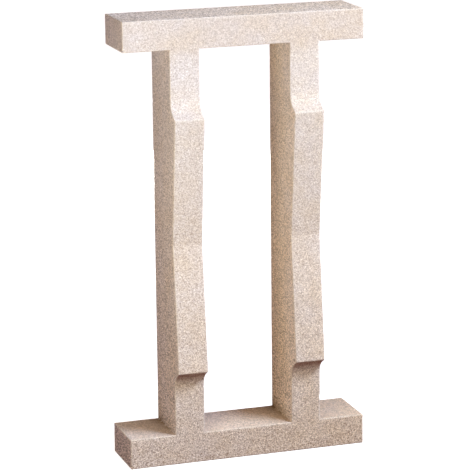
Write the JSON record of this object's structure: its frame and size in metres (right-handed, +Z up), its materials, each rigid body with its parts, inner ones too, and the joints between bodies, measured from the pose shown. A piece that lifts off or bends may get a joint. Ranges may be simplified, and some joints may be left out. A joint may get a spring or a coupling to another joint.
{
  "type": "twin baluster panel",
  "caption": "Cast-stone balustrade panel with square-edged top and base rails joined by slim flat uprights whose fronts swell forward over and under a pinched waist.",
  "frame": {"origin": "centre of the base rail's underside", "axes": "+Z up, +X along the rails, +Y towards the flat back, so the uprights' swells face -Y"},
  "size_m": [0.402, 0.1233, 0.73],
  "materials": {
    "cast_stone": "fine sandy cast surface, warm cream, matte"
  },
  "bodies": {
    "root": {"baluster_panel": "cast_stone"}
  },
  "joints": []
}
